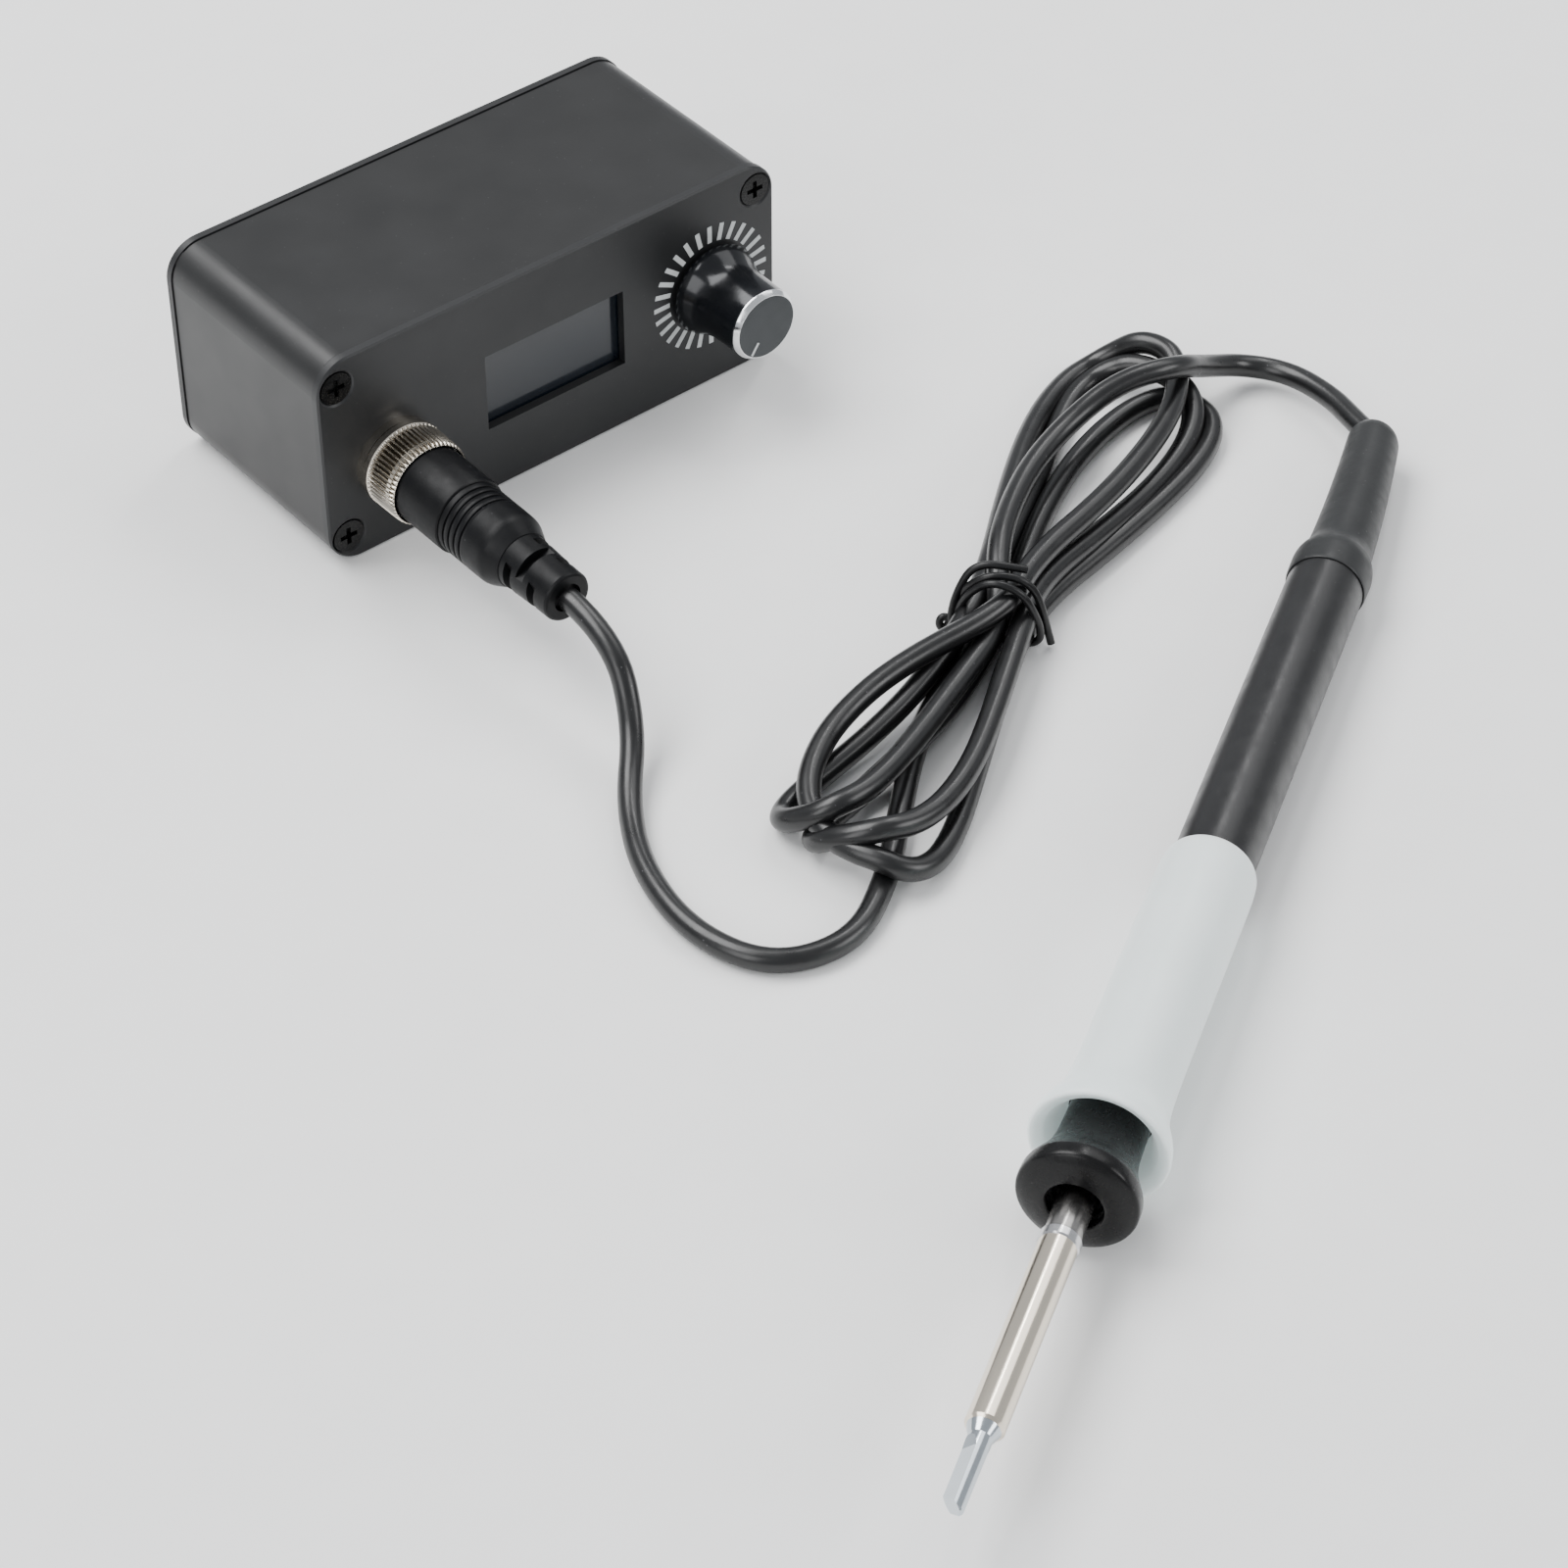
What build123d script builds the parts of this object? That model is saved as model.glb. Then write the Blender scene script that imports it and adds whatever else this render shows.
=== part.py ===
from build123d import *
import os
from math import atan2, cos, degrees, pi, radians, sin, tan

# Mini soldering station: a small anodised case with a screen, a dial and a plug-in iron.
# Millimetres. X to the right seen from the front, Y to the back, Z up.
# The origin is the middle of the case's underside, on the surface that everything stands on.

# ---- driving dimensions -------------------------------------------------------------
CASE_W, CASE_H, CASE_D = 88.0, 38.0, 38.0      # extrusion without its two end plates
CASE_R, WALL, PLATE = 5.7, 2.0, 1.5            # corner radius, wall and plate thickness
LIP = 0.2                                      # how far the end plates stand proud
MID_Z = CASE_H / 2
FRONT = -CASE_D / 2 - PLATE                    # outer face of the front plate
FRONT_IN = -CASE_D / 2
REAR = -FRONT
REAR_IN = -FRONT_IN
SCREW_X, SCREW_Z = 40.6, 14.3                  # M3 screws, from the middle of the plate
SCREW_HEAD_R, SCREW_R, SCREW_LEN, SINK_R = 2.75, 1.45, 8.0, 3.2
GAP = 0.05                                     # radial play of a plain fit

WINDOW_W, WINDOW_H, WINDOW_X = 27.0, 14.1, 0.2
DIAL_X, DIAL_Z = 31.2, MID_Z
TICKS, TICK_IN, TICK_OUT, TICK_W = 28, 8.3, 11.4, 0.85
KNOB_FLARE_R, KNOB_R, KNOB_LEN, KNOB_GAP = 7.9, 6.2, 14.2, 0.9
CAP_R = 5.5                                    # disc set into the knob's bright rim
PUSH = 0.5                                     # travel of the dial's push switch

PLUG_X, PLUG_Z = -31.2, 15.9                   # 12 mm round connector
THREAD_R = 5.97
NUT_R, NUT_BACK, NUT_LEN = 7.3, 1.7, 7.8       # coupling nut, measured from the plate
PLUG_R, GRIP_R, PLUG_STEP, PLUG_SHOULDER, PLUG_END = 6.5, 6.1, 19.6, 32.8, 44.0

JACK_X, SWITCH_X = -24.0, 22.0                 # rear inlet and power switch
ROCKER_DEPTH, ROCKER_TILT = 0.9, 11.0          # pivot below the plate's face, lean at rest

CORD_D = 3.7
CORD_R = CORD_D / 2
IRON_YAW = 31.67                               # heading of the iron, from its tip to its rear
TIP_X, TIP_Y = -96.9, -227.1
BIT_LEN, BARREL_END, SLEEVE_R, BARREL_R = 14.0, 46.4, 2.6, 2.7
NOSE_FACE, NOSE_RIM, NOSE_RIM_R, NOSE_HOLE_R = 54.0, 56.4, 8.5, 4.0
FLANGE_AT, FLANGE_R, GRIP_END, IRON_GRIP_R = 66.0, 9.95, 123.5, 7.15
TUBE_R, TUBE_IN_R, TUBE_START, TUBE_END = 5.95, 4.9, 72.0, 196.0
BOOT_LIP, BOOT_LIP_R, BOOT_END = 195.0, 6.3, 231.5
CARTRIDGE_END = 150.0
IRON_TILT = degrees(atan2(FLANGE_R - BOOT_LIP_R, BOOT_LIP - FLANGE_AT))
TIP_Z = FLANGE_R * cos(radians(IRON_TILT)) + FLANGE_AT * sin(radians(IRON_TILT))


# ---- helpers ------------------------------------------------------------------------
def rod(radius, y0, y1, x=0.0, z=0.0):
    """Cylinder along Y between two depths."""
    return Pos(x, (y0 + y1) / 2, z) * Rot(90, 0, 0) * Cylinder(radius, abs(y1 - y0))


def ring(outer, inner, y0, y1, x=0.0, z=0.0):
    """Tube along Y; the bore runs past both faces."""
    return rod(outer, y0, y1, x, z) - rod(inner, min(y0, y1) - 1, max(y0, y1) + 1, x, z)


def block(x0, x1, y0, y1, z0, z1):
    return Pos((x0 + x1) / 2, (y0 + y1) / 2, (z0 + z1) / 2) * Box(x1 - x0, y1 - y0, z1 - z0)


def turned(profile, x, z, face):
    """Body of revolution about a line along -Y from the given face.

    profile lists (distance in front of the face, radius) pairs, from the axis back to the axis."""
    outline = make_face(Polyline(*[(r, d, 0) for d, r in profile], close=True))
    solid = revolve(outline, Axis.Y, 360)
    return Pos(x, face, z) * Rot(180, 0, 0) * solid


def lathe(profile):
    """Body of revolution about X; profile lists (distance along X, radius) pairs."""
    return revolve(make_face(Polyline(*[(d, r, 0) for d, r in profile], close=True)), Axis.X, 360)


def plate(y0, y1, lip=0.0):
    """Rounded rectangle with the case's outline, between two depths; lip is how far it stands
    proud at the sides and the top."""
    face = Plane.XZ * RectangleRounded(CASE_W + 2 * lip, CASE_H + lip, CASE_R + lip)
    return Pos(0, y1, MID_Z + lip / 2) * extrude(face, y1 - y0)


def corners():
    return [(sx * SCREW_X, MID_Z + sz * SCREW_Z) for sx in (-1, 1) for sz in (-1, 1)]


def phillips(x, z, y_face, into):
    """Cross-shaped recess; into is the direction of the screw, +1 or -1 along Y."""
    y0, y1 = sorted((y_face - 0.3 * into, y_face + 1.0 * into))
    cross = block(x - 1.55, x + 1.55, y0, y1, z - 0.4, z + 0.4)
    return cross + block(x - 0.4, x + 0.4, y0, y1, z - 1.55, z + 1.55)


def screw(x, z, y_face, into):
    """Countersunk M3 screw whose head lies just under the plate's face."""
    top = y_face + 0.12 * into
    head = Pos(x, top + 0.7 * into, z) * Rot(90 * into, 0, 0) * Cone(SCREW_R, SCREW_HEAD_R, 1.4)
    shank = rod(SCREW_R, top + 1.35 * into, top + SCREW_LEN * into, x, z)
    return head + shank - phillips(x, z, top, into)


def countersinks(y_face, into):
    """Tools that cut the four countersunk holes of a plate."""
    cuts = Part()
    for x, z in corners():
        cone = Pos(x, y_face + 0.8 * into, z) * Rot(90 * into, 0, 0) * Cone(SCREW_R + GAP, SINK_R, 1.6)
        cuts += cone + rod(SCREW_R + GAP, y_face - into, y_face + 3 * into, x, z)
    return cuts


PARTS = {}


def add(name, shape):
    PARTS[name] = shape


# ---- case ---------------------------------------------------------------------------
def make_case():
    inner = Plane.XZ * RectangleRounded(CASE_W - 2 * WALL, CASE_H - 2 * WALL, CASE_R - WALL)
    shell = plate(FRONT_IN, REAR_IN)
    ends = shell.faces().filter_by(Axis.Y)
    shell = chamfer(ends[0].edges() + ends[-1].edges(), 0.25)
    shell -= Pos(0, REAR_IN + 1, MID_Z) * extrude(inner, CASE_D + 2)
    for x, z in corners():
        sx, sz = (1 if x > 0 else -1), (1 if z > MID_Z else -1)
        boss = rod(3.0, FRONT_IN, REAR_IN, x, z)
        foot = block(*sorted((x, sx * (CASE_W / 2 - 1))), FRONT_IN, REAR_IN,
                     *sorted((z, MID_Z + sz * (CASE_H / 2 - 1))))
        shell += (boss + foot) & plate(FRONT_IN, REAR_IN)
        shell -= rod(SCREW_R + GAP, FRONT_IN - 1, REAR_IN + 1, x, z)
    for side in (-1, 1):
        for z in (MID_Z - 1.6, MID_Z + 1.6):
            x = side * (CASE_W / 2 - WALL)
            shell += block(*sorted((x + side * 0.5, x - side * 1.2)), FRONT_IN, REAR_IN, z - 0.5, z + 0.5)
    add("case_extrusion", shell)

    front = plate(FRONT, FRONT_IN, LIP)
    front = chamfer(front.faces().sort_by(Axis.Y)[0].edges(), 0.3) - countersinks(FRONT, 1)
    front -= block(WINDOW_X - WINDOW_W / 2, WINDOW_X + WINDOW_W / 2, FRONT - 1, FRONT_IN + 1,
                   MID_Z - WINDOW_H / 2, MID_Z + WINDOW_H / 2)
    front -= rod(3.5 + GAP, FRONT - 1, FRONT_IN + 1, DIAL_X, DIAL_Z)
    front -= rod(THREAD_R + GAP, FRONT - 1, FRONT_IN + 1, PLUG_X, PLUG_Z)
    add("front_panel", front)
    rear = plate(REAR_IN, REAR, LIP)
    rear = chamfer(rear.faces().sort_by(Axis.Y)[-1].edges(), 0.3) - countersinks(REAR, -1)
    rear -= rod(4.0 + GAP, REAR_IN - 1, REAR + 1, JACK_X, MID_Z)
    rear -= block(SWITCH_X - 6.6, SWITCH_X + 6.6, REAR_IN - 1, REAR + 1, MID_Z - 9.6, MID_Z + 9.6)
    add("rear_panel", rear)
    add("front_screws", Compound([screw(x, z, FRONT, 1) for x, z in corners()]))
    add("rear_screws", Compound([screw(x, z, REAR, -1) for x, z in corners()]))

    ticks = []
    for i in range(TICKS):
        bar = block(TICK_IN, TICK_OUT, FRONT - 0.05, FRONT, -TICK_W / 2, TICK_W / 2)
        ticks.append(Pos(DIAL_X, 0, DIAL_Z) * Rot(0, -360 / TICKS * i, 0) * bar)
    add("dial_ticks", Compound(ticks))


# ---- screen and boards --------------------------------------------------------------
BOARD_Y = FRONT_IN + 6.7                       # front face of the controller board
BOARD_T = 1.6


def make_electronics():
    x = WINDOW_X
    glass_y = FRONT_IN + 0.3
    add("display_glass", block(x - 17, x + 17, glass_y, glass_y + 1.5, MID_Z - 11.5, MID_Z + 11.5))
    add("display_board", block(x - 17.5, x + 17.5, glass_y + 1.5, glass_y + 2.7, MID_Z - 15.5, MID_Z + 15.5))
    header = block(x - 5.1, x + 5.1, glass_y + 2.7, BOARD_Y, MID_Z + 12.0, MID_Z + 14.5)
    add("display_header", header)

    board = block(-21.0, 36.8, BOARD_Y, BOARD_Y + BOARD_T, MID_Z - 15, MID_Z + 15)
    add("controller_board", board)
    back = BOARD_Y + BOARD_T
    chip = block(-6, 1, back, back + 1.6, MID_Z - 3.5, MID_Z + 3.5)
    legs = []
    for leg_x in (-6.9, 1.0):
        for i in range(8):
            leg_z = MID_Z - 3 + 0.8 * i
            legs.append(block(leg_x, leg_x + 0.9, back, back + 0.4, leg_z, leg_z + 0.3))
    add("microcontroller", Compound([chip] + legs))
    transistors = [block(cx, cx + 6.0, back, back + 2.2, 24.0, 30.0) for cx in (-18, -9)]
    add("power_transistors", Compound(transistors))
    coil = block(8, 15, back, back + 4.0, 8.0, 15.0)
    add("buck_inductor", fillet(coil.edges().filter_by(Axis.Y), 1.2))
    add("filter_capacitors", Compound([rod(4.0, back, back + 11.0, cx, 27.5) for cx in (10.0, 20.0)]))
    terminals = block(-19, -9, back, back + 7.0, 6.0, 14.0)
    add("wire_terminals", terminals)
    add("buzzer", ring(4.5, 0.8, back, back + 4.0, 25.5, 12.0))


def make_encoder():
    x, z = DIAL_X, DIAL_Z
    body = block(x - 6, x + 6, FRONT_IN, FRONT_IN + 6.6, z - 6, z + 6)
    body += rod(3.5, FRONT_IN - 3.9, FRONT_IN + 0.5, x, z)
    body -= rod(3.0 + GAP, FRONT_IN - 8, FRONT_IN + 4.6, x, z)
    add("encoder_body", body)
    nut = Pos(x, FRONT - 0.65, z) * Rot(90, 0, 0) * extrude(RegularPolygon(5.5, 6), 1.3, both=False)
    nut = Pos(0, 0.65, 0) * nut - rod(3.5 + GAP, FRONT - 5, FRONT + 5, x, z)
    add("encoder_nut", nut)
    # A small cap at the shaft's inner end presses the dome switch; the shaft turns on it.
    plunger = rod(2.2, FRONT_IN + 2.9, FRONT_IN + 3.9, x, z)
    add("push_plunger", plunger)
    shaft = rod(3.0, FRONT - KNOB_LEN + 1.6, FRONT_IN + 2.85, x, z)
    flat = block(x - 4, x + 4, FRONT - KNOB_LEN, FRONT - 7.5, z + 1.5, z + 4)
    add("encoder_shaft", shaft - flat)

    g = KNOB_GAP
    base = FRONT
    knob = turned([(g, 0), (g, KNOB_FLARE_R), (g + 0.5, KNOB_FLARE_R), (2.4, 7.55), (3.8, 7.0), (5.4, 6.5),
                   (7.4, 6.26), (KNOB_LEN - 1.0, KNOB_R - 0.05), (KNOB_LEN - 1.0, 0)], x, z, base)
    hollow = turned([(g - 1, 0), (g - 1, 6.5), (3.2, 6.2), (3.2, 0)], x, z, base)
    bore = rod(3.0 + GAP, FRONT, FRONT - KNOB_LEN + 1.55, x, z) - block(
        x - 4, x + 4, FRONT - KNOB_LEN, FRONT - 7.6, z + 1.5 + GAP, z + 4)
    add("knob_body", knob - hollow - bore)
    rim = turned([(KNOB_LEN - 1.0, CAP_R), (KNOB_LEN - 1.0, KNOB_R - 0.05), (KNOB_LEN - 0.75, KNOB_R - 0.05),
                  (KNOB_LEN, CAP_R + 0.1), (KNOB_LEN, CAP_R)], x, z, base)
    add("knob_rim", rim)
    cap = rod(CAP_R, FRONT - KNOB_LEN + 1.0, FRONT - KNOB_LEN - 0.02, x, z)
    pointer = Pos(x, 0, z) * Rot(0, 125, 0) * block(
        2.9, 5.3, FRONT - KNOB_LEN - 0.1, FRONT - KNOB_LEN + 0.3, -0.22, 0.22)
    add("knob_cap", cap - pointer)
    add("knob_pointer", pointer)


# ---- rear inlet and power switch ----------------------------------------------------
def make_rear():
    x, z = JACK_X, MID_Z
    jack = ring(5.5, 2.8, REAR, REAR + 1.8, x, z) + ring(4.0, 2.8, REAR - 9.0, REAR + 0.5, x, z)
    jack += rod(4.0, REAR - 11.0, REAR - 8.8, x, z)
    add("dc_jack", jack)
    add("dc_jack_pin", rod(1.05, REAR - 8.8, REAR + 0.6, x, z))
    nut = Pos(x, REAR_IN, z) * Rot(90, 0, 0) * extrude(RegularPolygon(6.2, 6), 2.0)
    add("dc_jack_nut", nut - rod(4.0 + GAP, REAR_IN - 4, REAR_IN + 2, x, z))

    x = SWITCH_X
    frame = block(x - 7.5, x + 7.5, REAR, REAR + 1.6, z - 10.5, z + 10.5)
    frame = fillet(frame.edges().filter_by(Axis.Y), 0.8)
    frame += block(x - 6.5, x + 6.5, REAR - 12.0, REAR + 0.5, z - 9.5, z + 9.5)
    frame -= block(x - 5.2, x + 5.2, REAR - 6.5, REAR + 3, z - 8.2, z + 8.2)
    add("switch_frame", frame)
    outline = Plane.YZ * make_face(Polyline(
        (-3.0, -3.5), (-1.0, -7.3), (3.2, -7.3), (2.2, -3.6), (1.9, 0), (2.2, 3.6), (3.2, 7.3), (-1.0, 7.3),
        (-3.0, 3.5), close=True))
    rocker = extrude(outline, 4.9, both=True)
    add("power_rocker", Pos(x, REAR - ROCKER_DEPTH, z) * Rot(ROCKER_TILT, 0, 0) * rocker)
    tabs = [block(x - 2.4, x + 2.4, REAR - 17.0, REAR - 12.0, z + dz - 0.4, z + dz + 0.4)
            for dz in (-5.0, 5.0)]
    add("switch_terminals", Compound(tabs))


# ---- round connector ----------------------------------------------------------------
def pin_circle(radius, count):
    turns = [2 * pi * (i + 0.5) / count for i in range(count)]
    return [(PLUG_X + radius * cos(turn), PLUG_Z + radius * sin(turn)) for turn in turns]


def make_connector():
    x, z, f = PLUG_X, PLUG_Z, FRONT
    end = f - 6.5
    socket = rod(7.0, f - 1.5, f, x, z) + rod(THREAD_R, end, FRONT_IN + 6.0, x, z)
    socket -= rod(4.75, end - 1, FRONT_IN + 8, x, z)
    add("socket_shell", socket)
    nut = Pos(x, FRONT_IN + 2.2, z) * Rot(90, 0, 0) * extrude(RegularPolygon(8.2, 6), 2.2)
    add("socket_nut", nut - rod(THREAD_R + GAP, FRONT_IN - 2, FRONT_IN + 5, x, z))
    pins = pin_circle(2.6, 5)
    insulator = rod(4.7, FRONT_IN + 0.5, FRONT_IN + 4.5, x, z)
    sockets = Part()
    for px, pz in pins:
        insulator -= rod(0.65, FRONT_IN - 1, FRONT_IN + 6, px, pz)
        sockets += rod(1.02, f - 10, f + 2, px, pz)
    add("socket_insulator", insulator)
    add("socket_pins", Compound([rod(0.6, f - 4.5, FRONT_IN + 7.5, px, pz) for px, pz in pins]))

    nut = turned([(NUT_BACK, THREAD_R + 0.06), (NUT_BACK, NUT_R - 0.2), (NUT_BACK + 1.3, NUT_R),
                  (NUT_BACK + NUT_LEN - 0.4, NUT_R), (NUT_BACK + NUT_LEN, NUT_R - 0.35),
                  (NUT_BACK + NUT_LEN, 6.75), (8.3, 6.75), (8.3, 7.0), (7.5, 7.0), (7.5, 6.6), (6.4, 6.6),
                  (6.4, THREAD_R + 0.06)], x, z, f)
    add("coupling_nut", nut)
    add("nut_retaining_ring", ring(6.95, PLUG_R + GAP, f - 7.6, f - 8.2, x, z))
    add("plug_collar", ring(6.5, 4.75, f - 6.6, f - 7.4, x, z))
    add("plug_insert", rod(4.7, f - 1.2, f - 9.0, x, z) - sockets)
    add("plug_contacts", Compound([ring(0.97, 0.65, f - 1.6, f - 9.0, px, pz) for px, pz in pins]))

    grooves = []
    for i in range(4):
        y = PLUG_STEP + 1.0 + 1.35 * i
        grooves += [(y, GRIP_R), (y + 0.1, GRIP_R - 0.28), (y + 0.45, GRIP_R - 0.28), (y + 0.55, GRIP_R)]
    body = turned([(7.45, 0), (7.45, PLUG_R), (PLUG_STEP - 0.25, PLUG_R), (PLUG_STEP, PLUG_R - 0.2),
                   (PLUG_STEP, GRIP_R)] + grooves + [(29.6, GRIP_R), (30.8, GRIP_R - 0.35),
                   (31.9, GRIP_R - 0.9), (PLUG_SHOULDER, 4.7), (PLUG_SHOULDER, 0)], x, z, f)
    body -= rod(4.75, f - 7, f - 13, x, z)
    body -= rod(CORD_R + GAP, f - 12, f - 40, x, z)
    add("plug_body", body)

    relief = turned([(PLUG_SHOULDER, 0), (PLUG_SHOULDER, 4.55), (40.4, 4.2), (PLUG_END - 0.5, 4.15),
                     (PLUG_END - 0.15, 4.0), (PLUG_END, 3.7), (PLUG_END, 0)], x, z, f)
    relief -= rod(2.4, f - PLUG_END + 1.2, f - PLUG_END - 1, x, z)
    for row in range(3):
        y = f - 33.9 - 2.75 * row
        slot = ring(6.0, 2.9, y, y - 1.6, x, z)
        bridge = Pos(x, y, z) * Rot(0, 90 * (row % 2) - 20, 0) * Box(5.4, 6, 16)
        relief -= slot - bridge
    add("plug_strain_relief", relief)


# ---- iron ---------------------------------------------------------------------------
def iron_place(s=0.0, side=0.0, up=0.0):
    """A point of the iron's own frame: s from the tip to the rear, side to its left."""
    yaw, tilt = radians(IRON_YAW), radians(IRON_TILT)
    along = (cos(yaw) * cos(tilt), sin(yaw) * cos(tilt), -sin(tilt))
    lift = (cos(yaw) * sin(tilt), sin(yaw) * sin(tilt), cos(tilt))
    left = (-sin(yaw), cos(yaw), 0.0)
    return tuple(base + s * a + side * b + up * c
                 for base, a, b, c in zip((TIP_X, TIP_Y, TIP_Z), along, left, lift))


def on_iron(shape):
    yaw, tilt = radians(IRON_YAW), radians(IRON_TILT)
    lift = (cos(yaw) * sin(tilt), sin(yaw) * sin(tilt), cos(tilt))
    along = (cos(yaw) * cos(tilt), sin(yaw) * cos(tilt), -sin(tilt))
    return Plane(origin=(TIP_X, TIP_Y, TIP_Z), x_dir=along, z_dir=lift).location * shape


def pipe(outer, inner, s0, s1):
    """Tube along the iron's axis."""
    return lathe([(s0, inner), (s0, outer), (s1, outer), (s1, inner)])


def make_iron():
    # Knife-like bit: a plated rod with a long flat at its upper left and lower right, and a slanting end.
    rod_r, flat = 1.65, 1.05
    bit = lathe([(0, 0), (0, rod_r - 0.15), (0.3, rod_r), (BIT_LEN - 1.6, rod_r), (BIT_LEN, 2.3),
                 (BIT_LEN, 0)])
    for side in (1, -1):
        wedge = make_face(Polyline((-1, side * (flat - 0.1)), (-1, side * 4), (12.4, side * 4),
                                   (12.4, side * 2.2), (11.6, side * 1.45), (10.2, side * flat), close=True))
        bit -= extrude(wedge, 3, both=True)
    slant = make_face(Polyline((-1, -3), (-0.5, -1.7), (2.4, 1.7), (3.0, 4), (-1, 4), close=True))
    bit = Rot(45, 0, 0) * bit - extrude(slant, 3, both=True)
    add("tip_bit", on_iron(bit))
    barrel = lathe([(BIT_LEN, 0), (BIT_LEN, 2.2), (BIT_LEN + 0.4, BARREL_R), (BARREL_END, BARREL_R),
                    (BARREL_END, 0)])
    add("tip_barrel", on_iron(barrel))
    collar = lathe([(BARREL_END, 0), (BARREL_END, 2.7), (BARREL_END + 0.25, 2.9), (BARREL_END + 1.5, 2.9),
                    (BARREL_END + 1.75, 2.7), (BARREL_END + 1.75, 0)])
    add("tip_collar", on_iron(collar))
    start = BARREL_END + 1.75
    add("tip_sleeve", on_iron(lathe([(start, 0), (start, SLEEVE_R), (CARTRIDGE_END - 18, SLEEVE_R),
                                     (CARTRIDGE_END - 18, 0)])))
    s = CARTRIDGE_END - 18
    rings, spacers = [], []
    for i in range(3):
        spacers.append(lathe([(s, 0), (s, 2.2), (s + 2, 2.2), (s + 2, 0)]))
        rings.append(lathe([(s + 2, 0), (s + 2, 2.6), (s + 6, 2.6), (s + 6, 0)]))
        s += 6
    add("tip_spacers", on_iron(Compound(spacers)))
    add("tip_contacts", on_iron(Compound(rings)))

    bore = SLEEVE_R + 0.35
    nose = lathe([(NOSE_FACE + 0.2, NOSE_HOLE_R), (NOSE_FACE, NOSE_HOLE_R + 0.3), (NOSE_FACE + 0.5, 6.2),
                  (NOSE_FACE + 1.3, 7.7), (NOSE_RIM - 0.7, 8.25), (NOSE_RIM, NOSE_RIM_R),
                  (NOSE_RIM + 1.3, NOSE_RIM_R), (59.2, 8.1), (61.0, 7.3), (63.5, 6.3), (66.0, 5.8),
                  (TUBE_START, 5.7), (TUBE_START, 4.8), (88.0, 4.8), (88.0, bore), (60.5, bore), (59.5, 3.4),
                  (57.8, 3.4), (57.8, 3.75), (56.2, 3.75), (56.2, NOSE_HOLE_R)])
    add("nose_cone", on_iron(nose))
    add("handle_tube", on_iron(pipe(TUBE_R, TUBE_IN_R, TUBE_START, TUBE_END)))
    sleeve_in = TUBE_R + GAP
    grip = lathe([(65.3, 9.3), (65.6, 9.8), (FLANGE_AT, FLANGE_R), (67.6, 9.85), (69.4, 9.2), (71.0, 8.4),
                  (73.2, 7.65), (76.5, 7.35), (80.0, 7.2), (120.6, IRON_GRIP_R), (GRIP_END, 6.4),
                  (GRIP_END, sleeve_in), (TUBE_START + 0.2, sleeve_in), (71.6, 6.1), (68.0, 6.9),
                  (66.0, 8.3)])
    add("silicone_grip", on_iron(grip))

    # Rear boot: a lip over the tube's end, then a taper that leans to the left, towards the cord.
    lip = lathe([(190.7, TUBE_R + GAP), (190.7, 6.15), (192.0, BOOT_LIP_R), (BOOT_LIP, BOOT_LIP_R),
                 (197.5, 5.7),
                 (200.0, 5.05), (200.0, 0), (TUBE_END + 0.1, 0), (TUBE_END + 0.1, TUBE_R + GAP)])
    sections = [(200.0, 0.0, 5.05), (210.0, 0.35, 4.75), (220.0, 0.95, 4.45), (BOOT_END, 1.8, 4.1)]
    faces = [Plane(origin=(s, side, 0), x_dir=(0, 1, 0), z_dir=(1, side * 0.06, 0)) * Circle(r)
             for s, side, r in sections]
    taper = loft(Sketch() + faces)
    taper = fillet(taper.faces().sort_by(Axis.X)[-1].edges(), 1.6)
    add("rear_boot", on_iron(lip + taper))

    # Inside the handle: contact block with three spring clips, sensor board and tilt switch.
    holder = pipe(4.8, 3.2, CARTRIDGE_END - 20, CARTRIDGE_END + 3)
    holder -= Pos(CARTRIDGE_END - 8, 0, 4) * Box(20, 3.0, 4)
    add("contact_holder", on_iron(holder))
    clips = [Pos(CARTRIDGE_END - 14 + 6 * i, 0, 3.3) * Box(3.0, 2.4, 0.9) for i in range(3)]
    add("contact_springs", on_iron(Compound(clips)))
    board_start = CARTRIDGE_END + 4
    add("sensor_board", on_iron(Pos(board_start + 13, 0, -1.2) * Box(26, 8.0, 1.0)))
    can = lathe([(0, 1.0), (0, 1.65), (9, 1.65), (9, 0), (8.4, 0), (8.4, 1.25), (0.6, 1.25), (0.6, 1.0)])
    can += Pos(0.3, 0, 0) * Rot(0, 90, 0) * Cylinder(1.05, 0.6)
    add("tilt_switch_can", on_iron(Pos(board_start + 6, 0, 1.05) * can))
    add("tilt_switch_ball", on_iron(Pos(board_start + 6 + 8.4 - 1.25, 0, 1.05) * Sphere(1.15)))


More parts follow.
